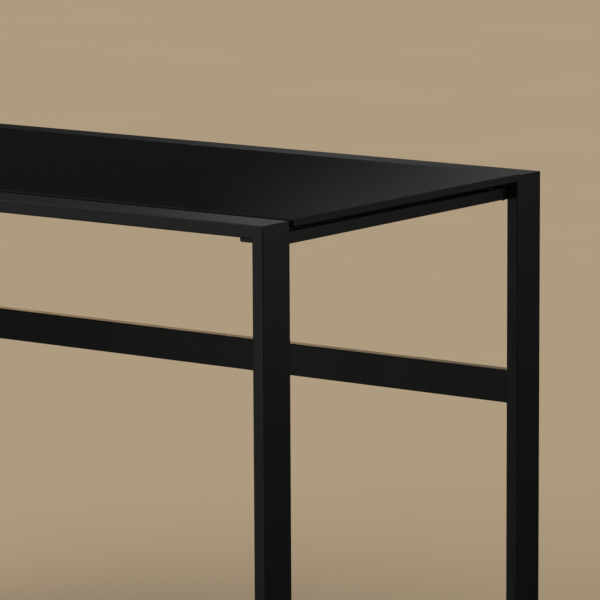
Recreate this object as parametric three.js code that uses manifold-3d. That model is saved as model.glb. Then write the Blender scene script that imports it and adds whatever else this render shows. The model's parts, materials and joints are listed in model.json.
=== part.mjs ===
// Computer desk with a pull-out keyboard tray: black tube frame, glass top, tray on telescopic slides.
// Millimetres. +Z is up, the user sits on the -Y side, and +X is the user's right.
// The origin is on the floor, under the middle of the desk.

import * as THREE from 'three';
import { mergeVertices } from 'three/addons/utils/BufferGeometryUtils.js';
import Module from 'manifold-3d';

// ---------------------------------------------------------------- driving dimensions

// Front and rear frames: flat tube, mitred at the top corners, one face towards the user
const FRAME_WIDTH = 1211;
const DEPTH = 600;
const FRAME_TOP = 759.5;
const TUBE_DEEP = 54;
const TUBE_THIN = 16.5;
const TUBE_WALL = 1.5;
const TUBE_CORNER = 1.5;
const MITRE_GAP = 0.05;

// Stretcher between the rear legs
const STRETCHER_TOP = 500;
const STRETCHER_HEIGHT = 43.5;

// Flat tubes that run front to back under the rails and carry the glass
const BEARER_WIDTH = 22;
const BEARER_HEIGHT = 15.5;
const BEARER_TOP = 743;
const CENTRE_BEARER_RIGHT = -85;

// Bracket on each end of a bearer, bolted up into the front or rear rail
const BRACKET_THICK = 6;
const BRACKET_SETBACK = 6;
const BRACKET_UPRIGHT = 10;
const BEARER_SETBACK = 5;
const BRACKET_ROUND = 2.5;
const BOLT = { radius: 3, length: 12, headRadius: 5.5, headHeight: 3.25, socket: 2.25 };
const BOLT_SETBACK = 30;

// Glass top and the rubber pads that it lies on: a foot, a waist and a wide cup
const GLASS_THICK = 10;
const GLASS_PROUD = 2.5;
const GLASS_OVERHANG = 4;
const GLASS_GAP = 0.5;
const GLASS_ROUND = 2;
const GLASS_ARRIS = 1.2;
const PAD = { foot: 8, footHeight: 2, waist: 6, cup: 9.5, cupHeight: 1 };
const PAD_INSET = 30;

// Plastic glides in the ends of the legs
const GLIDE_FLANGE = 5;
const GLIDE_PLUG = 14;
const GLIDE_GAP = 0.3;

// Keyboard tray: four bars, pads and a glass shelf
const TRAY_FRONT = -285;
const TRAY_DEPTH = 290;
const TRAY_BAR_WIDTH = 15;
const TRAY_BAR_HEIGHT = 20;
const TRAY_BAR_WALL = 1.25;
const TRAY_BAR_TOP = 675;
const SHELF_THICK = 5;
const SHELF_INSET = 3;
const SHELF_LAP = 2;
const SHELF_ROUND = 8;
const SHELF_PAD_THICK = 2;
const SHELF_PAD_RADIUS = 6;
const SHELF_PAD_INSET = 35;

// Three-part ball-bearing slides, measured from the hanger towards the tray
const SLIDE_FRONT = -265;
const SLIDE_LENGTH = 280;
const SLIDE_THICK = 12.5;
const SLIDE_SHEET = 1.25;
const SLIDE_OUTER = { start: 0, depth: 10, height: 35, lip: 2.25 };
const SLIDE_MIDDLE = { start: 3.5, depth: 8, height: 25, lip: 1.75 };
const SLIDE_INNER = { start: SLIDE_THICK, depth: -6, height: 16, lip: 0 };

// Angle that hangs each slide under a bearer, with its screws and rivets
const HANGER_SHEET = 2.5;
const HANGER_FRONT = -240;
const HANGER_LENGTH = 260;
const HANGER_BOTTOM = 645;
const HANGER_SCREW = { radius: 2.5, length: 8, headRadius: 4.5, headHeight: 2.75, socket: 1.75 };
const RIVET = { radius: 2, headRadius: 4, headHeight: 1.25, tailRadius: 3, tailHeight: 1.5 };
const FASTENER_INSET = 40;

// Radial clearances
const TAPPED = 0.1;
const CLEARED = 0.3;
const ROUND_SEGMENTS = 16;
const CORNER_SEGMENTS = 4;

// ---------------------------------------------------------------- derived positions

const HALF_FRAME = FRAME_WIDTH / 2;
const HALF_DEPTH = DEPTH / 2;
const LEG_INNER = HALF_FRAME - TUBE_THIN;
const RAIL_BOTTOM = FRAME_TOP - TUBE_THIN;
const RAIL_INNER = HALF_DEPTH - TUBE_DEEP;
const LEG_CENTRE_X = HALF_FRAME - TUBE_THIN / 2;
const LEG_CENTRE_Y = HALF_DEPTH - TUBE_DEEP / 2;
const BEARER_BOTTOM = BEARER_TOP - BEARER_HEIGHT;
const BEARER_END = RAIL_INNER - BEARER_SETBACK;
const BOLT_Y = HALF_DEPTH - BOLT_SETBACK;
const GLASS_TOP = FRAME_TOP + GLASS_PROUD;
const GLASS_BOTTOM = GLASS_TOP - GLASS_THICK;

// Each bearer by the middle of its width
const BEARERS = [
  { name: 'side_bearer_left', x: BEARER_WIDTH / 2 - LEG_INNER },
  { name: 'centre_bearer', x: CENTRE_BEARER_RIGHT - BEARER_WIDTH / 2 },
  { name: 'side_bearer_right', x: LEG_INNER - BEARER_WIDTH / 2 },
];

// Each slide: the outer face of its hanger, and which way the tray lies from there
const SLIDES = [
  { end: 'left', x: -LEG_INNER, inward: 1 },
  { end: 'right', x: CENTRE_BEARER_RIGHT, inward: -1 },
];
const SLIDE_OFFSET = HANGER_SHEET + SLIDE_THICK;
const TRAY_LEFT = SLIDES[0].x + SLIDE_OFFSET;
const TRAY_RIGHT = SLIDES[1].x - SLIDE_OFFSET;
const TRAY_CENTRE = (TRAY_LEFT + TRAY_RIGHT) / 2;
const TRAY_BACK = TRAY_FRONT + TRAY_DEPTH;
const TRAY_BAR_Z = TRAY_BAR_TOP - TRAY_BAR_HEIGHT / 2;
const HANGER_MIDDLE_Y = HANGER_FRONT + HANGER_LENGTH / 2;
const FASTENERS = [
  { end: 'front', y: HANGER_FRONT + FASTENER_INSET },
  { end: 'rear', y: HANGER_FRONT + HANGER_LENGTH - FASTENER_INSET },
];

// ---------------------------------------------------------------- materials

function finish(color, roughness, metalness) {
  return new THREE.MeshStandardMaterial({ color, roughness, metalness });
}

const paint = () => finish(0x1c1c1e, 0.45, 0.2);
const blackGlass = () => finish(0x08080a, 0.05, 0);
const rubber = () => finish(0x141414, 0.85, 0);
const plastic = () => finish(0x18181a, 0.6, 0);
const zinc = () => finish(0xaeb2b8, 0.35, 0.9);
const blackSteel = () => finish(0x26262a, 0.4, 0.8);

// ---------------------------------------------------------------- joining and cutting

const wasm = await Module();
wasm.setup();

function toSolid(geometry) {
  const bare = geometry.clone();
  bare.deleteAttribute('normal');
  bare.deleteAttribute('uv');
  const merged = mergeVertices(bare);
  const vertProperties = new Float32Array(merged.attributes.position.array);
  const triVerts = new Uint32Array(merged.index.array);
  return new wasm.Manifold(new wasm.Mesh({ numProp: 3, vertProperties, triVerts }));
}

function toGeometry(solid) {
  const mesh = solid.getMesh();
  const geometry = new THREE.BufferGeometry();
  geometry.setAttribute('position', new THREE.BufferAttribute(mesh.vertProperties, 3));
  geometry.setIndex(new THREE.BufferAttribute(mesh.triVerts, 1));
  return geometry;
}

function cut(geometry, cutters) {
  const solid = cutters.reduce((left, cutter) => left.subtract(toSolid(cutter)), toSolid(geometry));
  return toGeometry(solid);
}

function join(first, second) {
  return toGeometry(toSolid(first).add(toSolid(second)));
}

// ---------------------------------------------------------------- shapes

function roundedRectangle(path, width, height, radius) {
  const x = width / 2 - radius;
  const y = height / 2 - radius;
  const quarter = Math.PI / 2;
  path.absarc(x, y, radius, 0, quarter);
  path.absarc(-x, y, radius, quarter, 2 * quarter);
  path.absarc(-x, -y, radius, 2 * quarter, 3 * quarter);
  path.absarc(x, -y, radius, 3 * quarter, 4 * quarter);
  path.closePath();
  return path;
}

function polygon(points) {
  return new THREE.Shape(points.map(([x, y]) => new THREE.Vector2(x, y)));
}

// An extrusion centred on the origin that runs along Z.
function extrude(shape, length) {
  const options = { depth: length, bevelEnabled: false, curveSegments: CORNER_SEGMENTS };
  return new THREE.ExtrudeGeometry(shape, options).translate(0, 0, -length / 2);
}

// These turn an extrusion to run along Y or X, with its profile upright.
function alongY(geometry) {
  return geometry.rotateX(Math.PI / 2);
}

function alongX(geometry) {
  return alongY(geometry).rotateZ(Math.PI / 2);
}

function tube(width, height, wall, length) {
  const shape = roundedRectangle(new THREE.Shape(), width, height, TUBE_CORNER);
  const bore = roundedRectangle(new THREE.Path(), width - 2 * wall, height - 2 * wall, TUBE_CORNER / 2);
  shape.holes.push(bore);
  return extrude(shape, length);
}

function roundedPlate(width, depth, thick, radius) {
  return extrude(roundedRectangle(new THREE.Shape(), width, depth, radius), thick);
}

// A flat glass panel with polished arrises.
function glassPanel(width, depth, thick, radius) {
  const shape = roundedRectangle(new THREE.Shape(), width, depth, radius);
  const geometry = new THREE.ExtrudeGeometry(shape, {
    depth: thick - 2 * GLASS_ARRIS,
    bevelThickness: GLASS_ARRIS,
    bevelSize: GLASS_ARRIS,
    bevelOffset: -GLASS_ARRIS,
    bevelSegments: 1,
    curveSegments: 2 * CORNER_SEGMENTS,
  });
  return geometry.translate(0, 0, GLASS_ARRIS - thick / 2);
}

// A round piece about the Z axis; the profile is a list of [radius, height].
function turned(profile) {
  const points = profile.map(([radius, height]) => new THREE.Vector2(radius, height));
  return new THREE.LatheGeometry(points, ROUND_SEGMENTS).rotateX(Math.PI / 2);
}

function disc(radius, thick) {
  return new THREE.CylinderGeometry(radius, radius, thick, ROUND_SEGMENTS).rotateX(Math.PI / 2);
}

// A button-head screw, shank up: its head hangs below z = 0.
function buttonScrew({ radius, length, headRadius, headHeight, socket }) {
  const body = turned([
    [0, -headHeight],
    [headRadius * 0.55, -headHeight],
    [headRadius * 0.9, -headHeight * 0.65],
    [headRadius, -headHeight * 0.25],
    [headRadius, 0],
    [radius, 0],
    [radius, length - radius / 3],
    [radius * 2 / 3, length],
    [0, length],
  ]);
  const key = new THREE.CylinderGeometry(socket, socket, headHeight, 6).rotateX(Math.PI / 2);
  return cut(body, [key.translate(0, 0, -headHeight)]);
}

// ---------------------------------------------------------------- the desk

const desk = new THREE.Group();

function add(name, geometry, material, x, y, z) {
  const mesh = new THREE.Mesh(geometry, material());
  mesh.name = name;
  mesh.position.set(x, y, z);
  desk.add(mesh);
}

// Wedge above (for a leg) or below (for a rail) the 45-degree plane through a frame's outer top corner.
function mitreCutter(side, above) {
  const reach = 2 * TUBE_THIN;
  const gap = above ? -MITRE_GAP : MITRE_GAP;
  const third = above ? [-reach, reach] : [reach, -reach];
  const outline = [[reach, reach], [-reach, -reach], third];
  return alongY(extrude(polygon(outline.map(([x, z]) => [side * x, z + gap])), 2 * TUBE_DEEP));
}

function addRail(name, towardsUser) {
  const body = alongX(tube(TUBE_DEEP, TUBE_THIN, TUBE_WALL, FRAME_WIDTH));
  const mitres = [-1, 1].map((side) => (
    mitreCutter(side, false).translate(side * HALF_FRAME, 0, TUBE_THIN / 2)
  ));
  const boltY = towardsUser * (BOLT_Y - LEG_CENTRE_Y);
  const holes = BEARERS.map(({ x }) => (
    disc(BOLT.radius + TAPPED, TUBE_THIN).translate(x, boltY, -TUBE_THIN / 2)
  ));
  const z = FRAME_TOP - TUBE_THIN / 2;
  add(name, cut(body, [...mitres, ...holes]), paint, 0, towardsUser * LEG_CENTRE_Y, z);
}

function addLeg(name, side, towardsUser) {
  const length = FRAME_TOP - GLIDE_FLANGE;
  const mitre = mitreCutter(side, true).translate(side * TUBE_THIN / 2, 0, length / 2);
  const body = cut(tube(TUBE_THIN, TUBE_DEEP, TUBE_WALL, length), [mitre]);
  add(name, body, paint, side * LEG_CENTRE_X, towardsUser * LEG_CENTRE_Y, GLIDE_FLANGE + length / 2);
}

function addGlide(name, side, towardsUser) {
  const flange = roundedPlate(TUBE_THIN, TUBE_DEEP, GLIDE_FLANGE, TUBE_CORNER);
  const shrink = 2 * (TUBE_WALL + GLIDE_GAP);
  const plugHeight = GLIDE_FLANGE / 2 + GLIDE_PLUG;
  const plug = roundedPlate(TUBE_THIN - shrink, TUBE_DEEP - shrink, plugHeight, TUBE_CORNER / 2);
  const body = join(flange, plug.translate(0, 0, plugHeight / 2));
  add(name, body, plastic, side * LEG_CENTRE_X, towardsUser * LEG_CENTRE_Y, GLIDE_FLANGE / 2);
}

function addFrame() {
  for (const [end, towardsUser] of [['front', -1], ['rear', 1]]) {
    addRail(`${end}_rail`, towardsUser);
    for (const [hand, side] of [['left', -1], ['right', 1]]) {
      addLeg(`${end}_leg_${hand}`, side, towardsUser);
      addGlide(`glide_${end}_${hand}`, side, towardsUser);
    }
  }
  const stretcher = alongX(tube(TUBE_THIN, STRETCHER_HEIGHT, TUBE_WALL, 2 * LEG_INNER));
  add('rear_stretcher', stretcher, paint, 0, LEG_CENTRE_Y, STRETCHER_TOP - STRETCHER_HEIGHT / 2);
}

// Bracket with its tongue pointing to +Y; it is turned round for the user's side.
function bracketGeometry() {
  const tongueLength = HALF_DEPTH - BRACKET_SETBACK - BEARER_END;
  const section = roundedRectangle(new THREE.Shape(), BEARER_WIDTH, BRACKET_THICK, BRACKET_ROUND);
  const tongue = alongY(extrude(section, tongueLength));
  const height = RAIL_BOTTOM - BEARER_BOTTOM;
  tongue.translate(0, tongueLength / 2, height - BRACKET_THICK / 2);
  const upright = new THREE.BoxGeometry(BEARER_WIDTH, BRACKET_UPRIGHT, height);
  upright.translate(0, BRACKET_UPRIGHT / 2, height / 2);
  const hole = disc(BOLT.radius + CLEARED, 4 * height).translate(0, BOLT_Y - BEARER_END, 0);
  return cut(join(tongue, upright), [hole]);
}

// Rubber pad on a bearer, with its foot at z = 0.
function padGeometry(height) {
  const { foot, footHeight, waist, cup, cupHeight } = PAD;
  return turned([
    [0, 0],
    [foot, 0],
    [foot, footHeight],
    [waist, footHeight * 2],
    [waist, height - cupHeight * 3.5],
    [cup, height - cupHeight],
    [cup, height],
    [0, height],
  ]);
}

function addBearer({ name, x }) {
  const body = alongY(tube(BEARER_WIDTH, BEARER_HEIGHT, TUBE_WALL, 2 * BEARER_END));
  const screwed = SLIDES.some((slide) => slide.x + slide.inward * BEARER_WIDTH / 2 === x);
  const holes = screwed ? FASTENERS.map(({ y }) => (
    disc(HANGER_SCREW.radius + TAPPED, BEARER_HEIGHT).translate(0, y, -BEARER_HEIGHT / 2)
  )) : [];
  add(name, cut(body, holes), paint, x, 0, BEARER_TOP - BEARER_HEIGHT / 2);
  for (const [end, towards] of [['front', -1], ['rear', 1]]) {
    const bracket = bracketGeometry();
    if (towards < 0) bracket.rotateZ(Math.PI);
    add(`${name}_bracket_${end}`, bracket, paint, x, towards * BEARER_END, BEARER_BOTTOM);
    const boltZ = RAIL_BOTTOM - BRACKET_THICK;
    add(`${name}_bolt_${end}`, buttonScrew(BOLT), blackSteel, x, towards * BOLT_Y, boltZ);
    const padY = towards * (RAIL_INNER - PAD_INSET);
    add(`${name}_pad_${end}`, padGeometry(GLASS_BOTTOM - BEARER_TOP), rubber, x, padY, BEARER_TOP);
  }
}

function addGlassTop() {
  const width = FRAME_WIDTH + 2 * GLASS_OVERHANG;
  const panel = glassPanel(width, 2 * (RAIL_INNER - GLASS_GAP), GLASS_THICK, GLASS_ROUND);
  add('glass_top', panel, blackGlass, 0, 0, GLASS_TOP - GLASS_THICK / 2);
}

// ---------------------------------------------------------------- the keyboard tray and its slides

// A C-shaped channel along Y. Its web stands at x = start and its flanges reach depth further on.
function channel({ start, depth, height, lip }, inward) {
  const sheet = SLIDE_SHEET;
  const way = Math.sign(depth);
  const top = height / 2;
  const tip = start + depth;
  const upperHalf = [
    [start, top],
    [tip, top],
    [tip, top - sheet - lip],
    [tip - way * sheet, top - sheet - lip],
    [tip - way * sheet, top - sheet],
    [start + way * sheet, top - sheet],
  ];
  const upper = lip > 0 ? upperHalf : upperHalf.filter((point, index) => index !== 3 && index !== 4);
  const lower = upper.map(([x, z]) => [x, -z]).reverse();
  const outline = [...upper, ...lower].map(([x, z]) => [inward * x, z]);
  return alongY(extrude(polygon(outline), SLIDE_LENGTH));
}

// Holes along X through a hanger or an outer channel, for the rivets.
function rivetHoles(middleY) {
  return FASTENERS.map(({ y }) => (
    disc(RIVET.radius + CLEARED, 4 * SLIDE_THICK).rotateY(Math.PI / 2).translate(0, y - middleY, 0)
  ));
}

function rivetGeometry(inward) {
  const { radius, headRadius, headHeight, tailRadius, tailHeight } = RIVET;
  const grip = HANGER_SHEET + SLIDE_SHEET;
  const body = turned([
    [0, -tailHeight],
    [tailRadius * 0.7, -tailHeight],
    [tailRadius, -tailHeight / 2],
    [tailRadius, 0],
    [radius, 0],
    [radius, grip],
    [headRadius, grip],
    [headRadius * 0.6, grip + headHeight],
    [0, grip + headHeight],
  ]);
  return body.rotateY(inward * Math.PI / 2);
}

function addSlide({ end, x, inward }) {
  const slideX = x + inward * HANGER_SHEET;
  const slideY = SLIDE_FRONT + SLIDE_LENGTH / 2;
  const outer = cut(channel(SLIDE_OUTER, inward), rivetHoles(slideY));
  add(`slide_outer_${end}`, outer, zinc, slideX, slideY, TRAY_BAR_Z);
  add(`slide_middle_${end}`, channel(SLIDE_MIDDLE, inward), zinc, slideX, slideY, TRAY_BAR_Z);
  add(`slide_inner_${end}`, channel(SLIDE_INNER, inward), zinc, slideX, slideY, TRAY_BAR_Z);
  for (const { end: place, y } of FASTENERS) {
    add(`slide_rivet_${end}_${place}`, rivetGeometry(inward), blackSteel, x, y, TRAY_BAR_Z);
  }
}

function addHanger({ end, x, inward }) {
  const drop = BEARER_BOTTOM - HANGER_BOTTOM;
  const outline = [
    [0, 0],
    [BEARER_WIDTH, 0],
    [BEARER_WIDTH, -HANGER_SHEET],
    [HANGER_SHEET, -HANGER_SHEET],
    [HANGER_SHEET, -drop],
    [0, -drop],
  ];
  const body = alongY(extrude(polygon(outline.map(([px, pz]) => [inward * px, pz])), HANGER_LENGTH));
  const screwHoles = FASTENERS.map(({ y }) => (
    disc(HANGER_SCREW.radius + CLEARED, 4 * HANGER_SHEET)
      .translate(inward * BEARER_WIDTH / 2, y - HANGER_MIDDLE_Y, 0)
  ));
  const slideHoles = rivetHoles(HANGER_MIDDLE_Y);
  slideHoles.forEach((hole) => hole.translate(0, 0, TRAY_BAR_Z - BEARER_BOTTOM));
  add(`hanger_${end}`, cut(body, [...screwHoles, ...slideHoles]), paint, x, HANGER_MIDDLE_Y, BEARER_BOTTOM);
  for (const { end: place, y } of FASTENERS) {
    const screwX = x + inward * BEARER_WIDTH / 2;
    const screwZ = BEARER_BOTTOM - HANGER_SHEET;
    add(`hanger_screw_${end}_${place}`, buttonScrew(HANGER_SCREW), blackSteel, screwX, y, screwZ);
  }
}

function addTray() {
  const bar = (length) => tube(TRAY_BAR_WIDTH, TRAY_BAR_HEIGHT, TRAY_BAR_WALL, length);
  const width = TRAY_RIGHT - TRAY_LEFT;
  const half = TRAY_BAR_WIDTH / 2;
  add('tray_bar_front', alongX(bar(width)), paint, TRAY_CENTRE, TRAY_FRONT + half, TRAY_BAR_Z);
  const rearLength = width - 2 * TRAY_BAR_WIDTH;
  add('tray_bar_rear', alongX(bar(rearLength)), paint, TRAY_CENTRE, TRAY_BACK - half, TRAY_BAR_Z);
  const sideLength = TRAY_DEPTH - TRAY_BAR_WIDTH;
  const padZ = TRAY_BAR_TOP + SHELF_PAD_THICK / 2;
  for (const [end, x] of [['left', TRAY_LEFT + half], ['right', TRAY_RIGHT - half]]) {
    add(`tray_bar_${end}`, alongY(bar(sideLength)), paint, x, TRAY_BACK - sideLength / 2, TRAY_BAR_Z);
    const padPlaces = [['front', TRAY_FRONT + SHELF_PAD_INSET], ['rear', TRAY_BACK - SHELF_PAD_INSET]];
    for (const [place, y] of padPlaces) {
      add(`tray_pad_${end}_${place}`, disc(SHELF_PAD_RADIUS, SHELF_PAD_THICK), rubber, x, y, padZ);
    }
  }
  const shelf = glassPanel(width - 2 * SHELF_INSET, TRAY_DEPTH + 2 * SHELF_LAP, SHELF_THICK, SHELF_ROUND);
  const shelfZ = TRAY_BAR_TOP + SHELF_PAD_THICK + SHELF_THICK / 2;
  add('tray_shelf', shelf, blackGlass, TRAY_CENTRE, TRAY_FRONT + TRAY_DEPTH / 2, shelfZ);
}

addFrame();
BEARERS.forEach(addBearer);
addGlassTop();
SLIDES.forEach(addHanger);
SLIDES.forEach(addSlide);
addTray();

export default desk;
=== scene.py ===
import json
import math

import bmesh
import bpy
from mathutils import Matrix, Quaternion, Vector


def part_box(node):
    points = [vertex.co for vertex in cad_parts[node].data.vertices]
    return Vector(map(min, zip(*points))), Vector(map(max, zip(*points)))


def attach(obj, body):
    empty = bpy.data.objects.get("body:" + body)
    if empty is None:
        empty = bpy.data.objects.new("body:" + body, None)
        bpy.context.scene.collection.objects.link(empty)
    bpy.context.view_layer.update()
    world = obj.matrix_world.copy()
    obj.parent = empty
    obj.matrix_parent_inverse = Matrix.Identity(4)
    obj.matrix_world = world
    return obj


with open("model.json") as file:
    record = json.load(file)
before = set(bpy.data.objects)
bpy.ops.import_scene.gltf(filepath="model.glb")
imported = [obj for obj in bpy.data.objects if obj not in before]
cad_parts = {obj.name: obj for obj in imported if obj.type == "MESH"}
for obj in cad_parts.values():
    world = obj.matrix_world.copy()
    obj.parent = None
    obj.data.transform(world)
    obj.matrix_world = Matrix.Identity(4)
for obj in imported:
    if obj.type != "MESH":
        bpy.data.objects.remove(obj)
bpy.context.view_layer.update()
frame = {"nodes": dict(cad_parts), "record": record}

NODES = frame["nodes"]
MM = 0.001

# ---------------------------------------------------------------- camera

# Place in metres, angles in degrees, lens in millimetres. Azimuth 0 looks along +Y, 90 along -X.
CAMERA_PLACE = Vector((3.566, -4.2452, 1.4797))
CAMERA_AZIMUTH = 36.379
CAMERA_ELEVATION = 9.311
CAMERA_ROLL = -0.288
CAMERA_LENS = 253.13


def add_camera():
    azimuth = math.radians(CAMERA_AZIMUTH)
    elevation = math.radians(CAMERA_ELEVATION)
    back = Vector((
        math.sin(azimuth) * math.cos(elevation),
        -math.cos(azimuth) * math.cos(elevation),
        math.sin(elevation),
    ))
    data = bpy.data.cameras.new("camera")
    data.lens = CAMERA_LENS
    data.clip_start = 0.1
    data.clip_end = 200
    camera = bpy.data.objects.new("camera", data)
    bpy.context.scene.collection.objects.link(camera)
    camera.location = CAMERA_PLACE
    camera.rotation_mode = "QUATERNION"
    roll = Quaternion((0, 0, 1), math.radians(CAMERA_ROLL))
    camera.rotation_quaternion = (-back).to_track_quat("-Z", "Y") @ roll
    bpy.context.scene.camera = camera


# ---------------------------------------------------------------- node helpers


class Tree:
    """A node tree with short calls to add and link nodes."""

    def __init__(self, owner):
        owner.use_nodes = True
        self.tree = owner.node_tree
        self.tree.nodes.clear()

    def add(self, kind, **settings):
        node = self.tree.nodes.new(kind)
        for name, value in settings.items():
            setattr(node, name, value)
        return node

    def link(self, source, target):
        self.tree.links.new(source, target)

    def feed(self, socket, value):
        if isinstance(value, bpy.types.NodeSocket):
            self.link(value, socket)
        else:
            socket.default_value = value

    def math(self, operation, first, second=0.0, third=0.0):
        node = self.add("ShaderNodeMath", operation=operation)
        for socket, value in zip(node.inputs, (first, second, third)):
            self.feed(socket, value)
        return node.outputs[0]

    def remap(self, value, low, high, to_low, to_high):
        node = self.add("ShaderNodeMapRange")
        for name, given in zip(("Value", "From Min", "From Max", "To Min", "To Max"),
                               (value, low, high, to_low, to_high)):
            self.feed(node.inputs[name], given)
        return node.outputs["Result"]

    def blend(self, factor, first, second):
        node = self.add("ShaderNodeMix", data_type="RGBA")
        self.feed(node.inputs[0], factor)
        self.feed(node.inputs[6], first)
        self.feed(node.inputs[7], second)
        return node.outputs[2]

    def noise(self, coordinates, scale, detail=3.0, roughness=0.5):
        node = self.add("ShaderNodeTexNoise")
        self.feed(node.inputs["Vector"], coordinates)
        node.inputs["Scale"].default_value = scale
        node.inputs["Detail"].default_value = detail
        node.inputs["Roughness"].default_value = roughness
        return node.outputs["Fac"]

    def stretched(self, coordinates, scale):
        node = self.add("ShaderNodeMapping")
        self.feed(node.inputs["Vector"], coordinates)
        node.inputs["Scale"].default_value = scale
        return node.outputs["Vector"]

    def bump(self, height, depth, strength=1.0, normal=None):
        node = self.add("ShaderNodeBump")
        node.inputs["Strength"].default_value = strength
        node.inputs["Distance"].default_value = depth
        self.feed(node.inputs["Height"], height)
        if normal is not None:
            self.feed(node.inputs["Normal"], normal)
        return node.outputs["Normal"]


def grey(value, tint=(1.0, 1.0, 1.0)):
    return (value * tint[0], value * tint[1], value * tint[2], 1.0)


def surface(name):
    """A new material: its tree, its shader and the object coordinates, in metres."""
    material = bpy.data.materials.new(name)
    tree = Tree(material)
    shader = tree.add("ShaderNodeBsdfPrincipled")
    output = tree.add("ShaderNodeOutputMaterial")
    tree.link(shader.outputs[0], output.inputs[0])
    place = tree.add("ShaderNodeTexCoord").outputs["Object"]
    return material, tree, shader, place


# ---------------------------------------------------------------- materials


def powder_coat():
    material, tree, shader, place = surface("powder_coat")
    cloud = tree.noise(place, 14, 4)
    grain = tree.noise(place, 2600, 2)
    peel = tree.noise(place, 420, 3)
    tone = tree.math("ADD", tree.math("MULTIPLY", cloud, 0.6), tree.math("MULTIPLY", grain, 0.4))
    colour = tree.blend(tone, grey(0.003), grey(0.006, (1.0, 1.0, 1.02)))
    tree.link(colour, shader.inputs["Base Color"])
    tree.link(tree.remap(tone, 0.25, 0.75, 0.40, 0.52), shader.inputs["Roughness"])
    coarse = tree.bump(peel, 0.00006)
    tree.link(tree.bump(grain, 0.00002, normal=coarse), shader.inputs["Normal"])
    shader.inputs["IOR"].default_value = 1.45
    return material


def black_glass():
    """Polished above and at the edges, with a matt coat of paint underneath."""
    material, tree, shader, place = surface("black_glass")
    smear = tree.noise(tree.stretched(place, (1.0, 2.2, 1.0)), 9, 5)
    dust = tree.noise(place, 1500, 1)
    speck = tree.remap(dust, 0.74, 0.80, 0.0, 1.0)
    tree.link(tree.blend(speck, grey(0.0018), grey(0.02)), shader.inputs["Base Color"])
    polish = tree.remap(smear, 0.3, 0.7, 0.015, 0.045)
    facing = tree.add("ShaderNodeSeparateXYZ")
    tree.link(tree.add("ShaderNodeTexCoord").outputs["Normal"], facing.inputs[0])
    paint = tree.remap(facing.outputs["Z"], -0.9, -0.5, 0.8, 0.0)
    tree.link(tree.math("ADD", polish, paint), shader.inputs["Roughness"])
    wave = tree.noise(place, 5, 1)
    tree.link(tree.bump(wave, 0.00002), shader.inputs["Normal"])
    shader.inputs["IOR"].default_value = 1.5
    return material


def zinc():
    material, tree, shader, place = surface("zinc_plate")
    streak = tree.noise(tree.stretched(place, (900, 12, 900)), 1, 4)
    patch = tree.noise(place, 45, 4)
    colour = tree.blend(patch, grey(0.50, (1.0, 1.0, 1.03)), grey(0.66, (1.0, 0.99, 0.96)))
    tree.link(colour, shader.inputs["Base Color"])
    shader.inputs["Metallic"].default_value = 1.0
    tree.link(tree.remap(streak, 0.3, 0.7, 0.24, 0.42), shader.inputs["Roughness"])
    tree.link(tree.bump(streak, 0.00001), shader.inputs["Normal"])
    return material


def black_steel():
    material, tree, shader, place = surface("black_steel")
    wear = tree.noise(place, 700, 4)
    tree.link(tree.blend(wear, grey(0.035), grey(0.075)), shader.inputs["Base Color"])
    shader.inputs["Metallic"].default_value = 0.9
    tree.link(tree.remap(wear, 0.3, 0.7, 0.28, 0.45), shader.inputs["Roughness"])
    tree.link(tree.bump(wear, 0.00001), shader.inputs["Normal"])
    return material


def rubber():
    material, tree, shader, place = surface("rubber")
    grain = tree.noise(place, 1800, 3)
    tree.link(tree.blend(grain, grey(0.008), grey(0.02)), shader.inputs["Base Color"])
    tree.link(tree.remap(grain, 0.3, 0.7, 0.72, 0.92), shader.inputs["Roughness"])
    tree.link(tree.bump(grain, 0.00003), shader.inputs["Normal"])
    return material


def plastic():
    material, tree, shader, place = surface("plastic")
    grain = tree.noise(place, 1200, 2)
    cloud = tree.noise(place, 60, 3)
    tree.link(tree.blend(cloud, grey(0.010), grey(0.018)), shader.inputs["Base Color"])
    tree.link(tree.remap(grain, 0.3, 0.7, 0.45, 0.62), shader.inputs["Roughness"])
    tree.link(tree.bump(grain, 0.00003), shader.inputs["Normal"])
    return material


MATERIALS = {
    "powder_coat": powder_coat(),
    "black_glass": black_glass(),
    "zinc": zinc(),
    "black_steel": black_steel(),
    "rubber": rubber(),
    "plastic": plastic(),
}

# ---------------------------------------------------------------- CAD nodes

SPLIT_ANGLE = math.radians(32)
# Width of the rounded edge that each kind of node gets, by the start of its name
EDGE_ROUNDING = {
    "hanger_left": 0.8,
    "hanger_right": 0.8,
    "slide_outer": 0.3,
    "slide_middle": 0.3,
    "slide_inner": 0.3,
    "glide": 0.5,
}


def smooth(node):
    """Smooth shading that keeps flat faces flat."""
    node.data.polygons.foreach_set("use_smooth", [True] * len(node.data.polygons))
    split = node.modifiers.new("split", "EDGE_SPLIT")
    split.split_angle = SPLIT_ANGLE
    split.use_edge_sharp = False
    weigh = node.modifiers.new("weigh", "WEIGHTED_NORMAL")
    weigh.keep_sharp = True


def round_edges(node, width):
    bevel = node.modifiers.new("bevel", "BEVEL")
    bevel.width = width * MM
    bevel.segments = 2
    bevel.limit_method = "ANGLE"
    bevel.angle_limit = SPLIT_ANGLE


def dress_cad_nodes():
    slots = {part["node"]: part["material_slot"] for part in frame["record"]["subparts"]}
    for name, node in NODES.items():
        mesh = node.data
        mesh.materials.clear()
        mesh.materials.append(MATERIALS[slots[name]])
        if "custom_normal" in mesh.attributes:
            mesh.attributes.remove(mesh.attributes["custom_normal"])
        weld = node.modifiers.new("weld", "WELD")
        weld.merge_threshold = 0.01 * MM
        for start, width in EDGE_ROUNDING.items():
            if name.startswith(start):
                round_edges(node, width)
        smooth(node)


# ---------------------------------------------------------------- detail pieces


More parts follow.
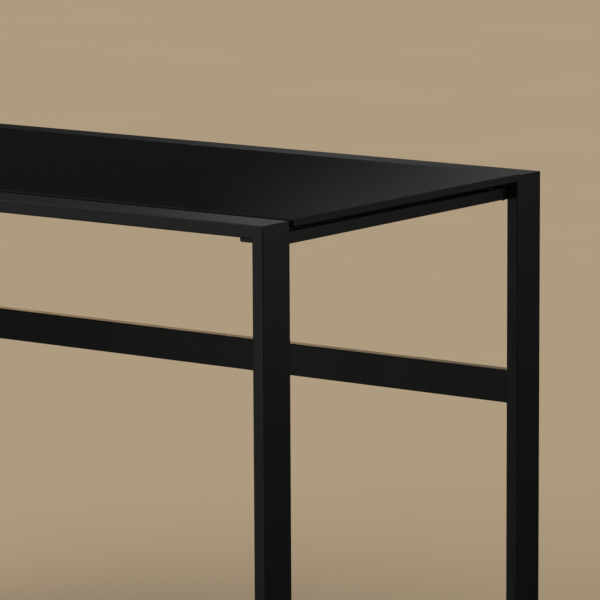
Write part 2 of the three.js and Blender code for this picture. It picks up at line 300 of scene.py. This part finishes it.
def add_piece(name, builder, slot, body):
    """Turns a bmesh into a piece that rides on a body, with the finish of a material slot."""
    bmesh.ops.recalc_face_normals(builder, faces=builder.faces)
    mesh = bpy.data.meshes.new(name)
    builder.to_mesh(mesh)
    builder.free()
    mesh.materials.append(MATERIALS[slot])
    piece = bpy.data.objects.new(name, mesh)
    bpy.context.scene.collection.objects.link(piece)
    smooth(piece)
    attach(piece, body)
    return piece


def bridge(builder, rings, closed):
    """Quads between rings of vertices, and a cap on each end of an open run."""
    pairs = list(zip(rings, rings[1:]))
    if closed:
        pairs.append((rings[-1], rings[0]))
    for first, second in pairs:
        for here in range(len(first)):
            after = (here + 1) % len(first)
            builder.faces.new((first[here], first[after], second[after], second[here]))
    if not closed:
        builder.faces.new(rings[0])
        builder.faces.new(rings[-1])


# Weld beads, in millimetres
BEAD_STEP = 0.45
BEAD_SIDES = 8
RIPPLE_PITCH = 2.4
RIPPLE_DEPTH = 0.10


def add_bead(name, corners, normal, radius, body, closed=False):
    """A rippled weld bead along straight stretches that all lie square to normal. Sizes are in millimetres."""
    ends = corners[1:] + corners[:1] if closed else corners[1:]
    path = []
    for start, end in zip(corners, ends):
        count = max(2, round((end - start).length / BEAD_STEP))
        path += [start.lerp(end, step / count) for step in range(count)]
    if not closed:
        path.append(corners[-1])
    builder = bmesh.new()
    rings = []
    for index, centre in enumerate(path):
        before = path[index - 1] if closed or index > 0 else centre
        after = path[(index + 1) % len(path)] if closed or index < len(path) - 1 else centre
        side = (after - before).normalized().cross(normal)
        ripple = abs(math.sin(math.pi * index * BEAD_STEP / RIPPLE_PITCH))
        wide = radius * (1 - RIPPLE_DEPTH + RIPPLE_DEPTH * ripple)
        ring = []
        for turn in range(BEAD_SIDES):
            angle = 2 * math.pi * turn / BEAD_SIDES
            offset = normal * math.cos(angle) + side * math.sin(angle)
            ring.append(builder.verts.new((centre + offset * wide) * MM))
        rings.append(ring)
    bridge(builder, rings, closed)
    add_piece(name, builder, "powder_coat", body)


def section_corners(low, high, across, cut):
    """Eight corners of a section with its corners cut off, at one place along the axis across."""
    first, second = [axis for axis in range(3) if axis != across]
    marks = [(0, cut), (cut, 0), (-cut, 0), (0, cut), (0, -cut), (-cut, 0), (cut, 0), (0, -cut)]
    ends = [
        (low, low), (low, low), (high, low), (high, low),
        (high, high), (high, high), (low, high), (low, high),
    ]
    corners = []
    for (one, other), (move_one, move_other) in zip(ends, marks):
        corner = Vector(low)
        corner[first] = one[first] + move_one
        corner[second] = other[second] + move_other
        corners.append(corner)
    return corners


def box_mm(name):
    low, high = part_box(name)
    return Vector(low) / MM, Vector(high) / MM


CUT = 1.0
STRETCHER_BEAD = 1.7
BEARER_BEAD = 1.3
TRAY_BEAD = 1.5


def add_frame_welds():
    """Beads where the stretcher meets the legs, and where each bearer meets its two brackets."""
    low, high = box_mm("rear_stretcher")
    for hand, x in (("left", low.x), ("right", high.x)):
        corners = section_corners(Vector((x, low.y, low.z)), Vector((x, high.y, high.z)), 0, CUT)
        add_bead(f"weld_stretcher_{hand}", corners, Vector((1, 0, 0)), STRETCHER_BEAD, "desk", closed=True)
    for bearer in ("side_bearer_left", "centre_bearer", "side_bearer_right"):
        low, high = box_mm(bearer)
        for end, y in (("front", low.y), ("rear", high.y)):
            corners = section_corners(Vector((low.x, y, low.z)), Vector((high.x, y, high.z)), 1, CUT)
            add_bead(f"weld_{bearer}_{end}", corners, Vector((0, 1, 0)), BEARER_BEAD, "desk", closed=True)


def add_tray_welds():
    """Upright beads in the four inside corners of the tray's frame."""
    front_low, front_high = box_mm("tray_bar_front")
    rear_low, rear_high = box_mm("tray_bar_rear")
    for hand, x in (("left", rear_low.x), ("right", rear_high.x)):
        for end, y in (("front", front_high.y), ("rear", rear_low.y)):
            corners = [Vector((x, y, front_low.z + CUT)), Vector((x, y, front_high.z - CUT))]
            add_bead(f"weld_tray_{hand}_{end}", corners, Vector((1, 0, 0)), TRAY_BEAD, "keyboard_tray")


def turn(builder, profile, place, axis, segments=24):
    """A round solid about axis through place, from a profile of (radius, height) that ends on the axis."""
    side = axis.orthogonal().normalized()
    other = axis.cross(side)
    rings = []
    for radius, height in profile:
        if radius == 0:
            rings.append([builder.verts.new((place + axis * height) * MM)])
            continue
        ring = []
        for step in range(segments):
            angle = 2 * math.pi * step / segments
            spoke = side * math.cos(angle) + other * math.sin(angle)
            ring.append(builder.verts.new((place + spoke * radius + axis * height) * MM))
        rings.append(ring)
    for first, second in zip(rings, rings[1:]):
        for here in range(segments):
            after = (here + 1) % segments
            if len(first) == 1:
                builder.faces.new((first[0], second[after], second[here]))
            elif len(second) == 1:
                builder.faces.new((first[here], first[after], second[0]))
            else:
                builder.faces.new((first[here], first[after], second[after], second[here]))


# Slide parts, in millimetres from the hanger towards the tray
SHEET = 1.25
CLEARANCE = 0.1
CAGE_SHEET = 0.6
CAGE_LENGTH = 120
BALL_PITCH = 12
# Where each cage has its web, its flanges' tips and its balls, and how far behind the slide's front it starts
OUTER_CAGE = {"web": 2.4, "tip": 8.3, "ball": 6.1, "inset": 25}
INNER_CAGE = {"web": 5.6, "tip": 10.0, "ball": 8.35, "inset": 15}
RIVET_INSET = 60
# Radius and height of the head that shows on the tray's rivets
RIVET_DOME = [(0, 1.5), (1.0, 1.5), (1.3, 1.2), (2.5, 1.0), (3.1, 0.45), (3.2, 0.02), (0, 0.02)]


def add_cage(name, base, inward, cage, race_low, race_high, body):
    """A sheet cage with two rows of balls. Base is the slide's front end on the hanger; races are half heights."""
    web = cage["web"]
    tip = cage["tip"]
    start = cage["inset"]
    ball_z = (race_low + race_high) / 2
    ball = (race_high - race_low) / 2 - CLEARANCE
    half = CAGE_SHEET / 2
    outline = [(tip, ball_z + half), (web - half, ball_z + half), (web - half, -ball_z - half),
               (tip, -ball_z - half), (tip, -ball_z + half), (web + half, -ball_z + half),
               (web + half, ball_z - half), (tip, ball_z - half)]
    builder = bmesh.new()
    rings = []
    for y in (start, start + CAGE_LENGTH):
        rings.append([builder.verts.new((base + Vector((inward * x, y, z))) * MM) for x, z in outline])
    bridge(builder, rings, False)
    for step in range(CAGE_LENGTH // BALL_PITCH):
        for z in (-ball_z, ball_z):
            centre = base + Vector((inward * cage["ball"], start + BALL_PITCH * (step + 0.5), z))
            place = Matrix.Translation(centre * MM)
            bmesh.ops.create_icosphere(builder, subdivisions=2, radius=ball * MM, matrix=place)
    add_piece(name, builder, "zinc", body)


def add_slide_details():
    """The ball cages of both slides, and the rivets that hold each inner channel to the tray."""
    for hand, inward in (("left", 1), ("right", -1)):
        low, high = box_mm(f"slide_outer_{hand}")
        middle_low, middle_high = box_mm(f"slide_middle_{hand}")
        inner_low, inner_high = box_mm(f"slide_inner_{hand}")
        outer_half, middle_half, inner_half = (
            (top.z - bottom.z) / 2
            for bottom, top in ((low, high), (middle_low, middle_high), (inner_low, inner_high))
        )
        base = Vector((low.x if inward > 0 else high.x, low.y, (low.z + high.z) / 2))
        add_cage(f"slide_outer_cage_{hand}", base, inward, OUTER_CAGE, middle_half, outer_half - SHEET, "desk")
        add_cage(f"slide_inner_cage_{hand}", base, inward, INNER_CAGE, inner_half, middle_half - SHEET,
                 f"slide_middle_{hand}")
        for end, y in (("front", low.y + RIVET_INSET), ("rear", high.y - RIVET_INSET)):
            builder = bmesh.new()
            web = inner_high.x - SHEET if inward > 0 else inner_low.x + SHEET
            turn(builder, RIVET_DOME, Vector((web, y, base.z)), Vector((-inward, 0, 0)))
            add_piece(f"tray_rivet_{hand}_{end}", builder, "black_steel", "keyboard_tray")


# ---------------------------------------------------------------- stage

FLOOR_TINT = (1.0, 0.80, 0.54)
FLOOR_REACH = 70
# Azimuth, from +Y towards -X, of what the glass top shows in the middle of the picture
REFLECTED = math.radians(36)
# Name, place, aim, width and height, watts and colour of each softbox. Places and sizes are in metres.
SOFTBOXES = [
    # Low on both sides, under the level of the glass, so that the top doesn't mirror them
    ("front", (-1.9, -3.2, 0.35), (0.0, 0.0, 0.381), (2.2, 0.7), 6.8, (1.0, 1.0, 1.0)),
    ("rear", (-1.2, 3.4, 0.35), (0.0, 0.0, 0.381), (2.2, 0.7), 6, (1.0, 1.0, 1.0)),
    # Above the rear left, for the sheen on the two rails
    ("back", (-0.24, 0.93, 1.35), (0.55, -0.27, 0.76), (0.32, 0.35), 0.38, (1.0, 1.0, 1.0)),
    ("corner", (0.24, 0.95, 1.14), (0.58, 0.27, 0.76), (0.2, 0.2), 0.09, (1.0, 1.0, 1.0)),
    # On the right, for the ends of the frame and the edge of the glass
    ("side", (1.7, 0.75, 1.1), (0.6, -0.2, 0.6), (0.5, 0.9), 2.2, (1.0, 1.0, 1.0)),
    ("edge", (2.0, 1.95, 0.42), (0.6, 0.0, 0.76), (1.2, 0.4), 0.15, (1.0, 1.0, 1.0)),
    # A tan wall behind the desk, which the top of the stretcher mirrors
    ("wall", (-0.46, 0.95, 0.63), (0.0, 0.27, 0.5), (1.5, 0.2), 3.1, (1.0, 0.68, 0.36)),
]


def add_floor():
    """Pale to the camera and to diffuse light, dim in the desk's reflections."""
    mesh = bpy.data.meshes.new("floor")
    builder = bmesh.new()
    corners = [(-1, -1), (1, -1), (1, 1), (-1, 1)]
    builder.faces.new([builder.verts.new((x * FLOOR_REACH, y * FLOOR_REACH, 0)) for x, y in corners])
    builder.to_mesh(mesh)
    builder.free()
    floor = bpy.data.objects.new("floor", mesh)
    bpy.context.scene.collection.objects.link(floor)
    material, tree, shader, place = surface("floor")
    cloud = tree.noise(place, 1.5, 3)
    pale = tree.blend(cloud, grey(0.56, FLOOR_TINT), grey(0.60, FLOOR_TINT))
    glossy = tree.add("ShaderNodeLightPath").outputs["Is Glossy Ray"]
    tree.link(tree.blend(glossy, pale, grey(0.05)), shader.inputs["Base Color"])
    shader.inputs["Roughness"].default_value = 1.0
    shader.inputs["Specular IOR Level"].default_value = 0.0
    mesh.materials.append(material)


def add_world():
    """Pale all round for diffuse light. Glossy rays see a studio that is dim near the horizon."""
    world = bpy.data.worlds.new("studio")
    bpy.context.scene.world = world
    tree = Tree(world)
    path = tree.add("ShaderNodeLightPath")
    direction = tree.add("ShaderNodeTexCoord").outputs["Generated"]
    split = tree.add("ShaderNodeSeparateXYZ")
    tree.link(direction, split.inputs[0])
    height = split.outputs["Z"]
    # How far a direction points to the right of the reflected middle, and towards the camera's side
    across = tree.math("ADD", tree.math("MULTIPLY", split.outputs["X"], math.cos(REFLECTED)),
                       tree.math("MULTIPLY", split.outputs["Y"], math.sin(REFLECTED)))
    behind = tree.math("SUBTRACT", tree.math("MULTIPLY", split.outputs["X"], math.sin(REFLECTED)),
                       tree.math("MULTIPLY", split.outputs["Y"], math.cos(REFLECTED)))
    # A soft glow just right of the middle, with a lighter strip above it
    side = tree.remap(across, -0.03, 0.07, 0.0, 1.0)
    glow = tree.math("MULTIPLY", tree.math("POWER", side, 2.5), 0.205)
    glow = tree.math("MULTIPLY", glow, tree.remap(across, 0.07, 0.16, 1.0, 0.1))
    lift = tree.remap(height, 0.129, 0.16, 0.0, 0.08)
    lift = tree.math("MULTIPLY", lift, tree.remap(side, 0.0, 0.33, 0.0, 1.0))
    lift = tree.math("MULTIPLY", lift, tree.remap(across, 0.07, 0.25, 1.0, 0.3))
    near = tree.math("ADD", tree.math("ADD", glow, lift), 0.018)
    near = tree.math("ADD", near, tree.remap(behind, 0.1, 0.9, 0.0, 0.12))
    # Both fade below the horizon and high up, where a broad pale ceiling takes over
    near = tree.math("MULTIPLY", near, tree.remap(height, -0.02, 0.1, 0.15, 1.0))
    near = tree.math("MULTIPLY", near, tree.remap(height, 0.2, 0.4, 1.0, 0.4))
    top = tree.math("MULTIPLY", tree.math("POWER", tree.remap(height, 0.25, 0.95, 0.0, 1.0), 1.3), 0.40)
    pale = tree.add("ShaderNodeBackground")
    pale.inputs["Color"].default_value = (1.0, 0.97, 0.93, 1.0)
    pale.inputs["Strength"].default_value = 0.45
    glossy = tree.add("ShaderNodeBackground")
    tree.link(tree.math("ADD", near, top), glossy.inputs["Strength"])
    mix = tree.add("ShaderNodeMixShader")
    tree.link(path.outputs["Is Glossy Ray"], mix.inputs[0])
    tree.link(pale.outputs[0], mix.inputs[1])
    tree.link(glossy.outputs[0], mix.inputs[2])
    output = tree.add("ShaderNodeOutputWorld")
    tree.link(mix.outputs[0], output.inputs[0])


def add_softbox(name, place, aim, size, power, colour):
    """An area light that shows only in glossy reflections."""
    data = bpy.data.lights.new(name, "AREA")
    data.shape = "RECTANGLE"
    data.size, data.size_y = size
    data.energy = power
    data.color = colour
    light = bpy.data.objects.new(name, data)
    bpy.context.scene.collection.objects.link(light)
    light.location = place
    light.visible_camera = False
    light.visible_diffuse = False
    light.rotation_mode = "QUATERNION"
    light.rotation_quaternion = (Vector(aim) - Vector(place)).to_track_quat("-Z", "Y")


def add_lights():
    sun = bpy.data.lights.new("sun", "SUN")
    sun.energy = 1.3
    sun.angle = math.radians(50)
    sun.color = (1.0, 0.98, 0.95)
    light = bpy.data.objects.new("sun", sun)
    bpy.context.scene.collection.objects.link(light)
    light.rotation_mode = "QUATERNION"
    light.rotation_quaternion = Vector((0.25, 0.75, -0.75)).to_track_quat("-Z", "Y")
    for softbox in SOFTBOXES:
        add_softbox(*softbox)


add_camera()
add_world()
add_floor()
add_lights()
dress_cad_nodes()
add_frame_welds()
add_tray_welds()
add_slide_details()
bpy.context.scene.view_settings.view_transform = "Standard"
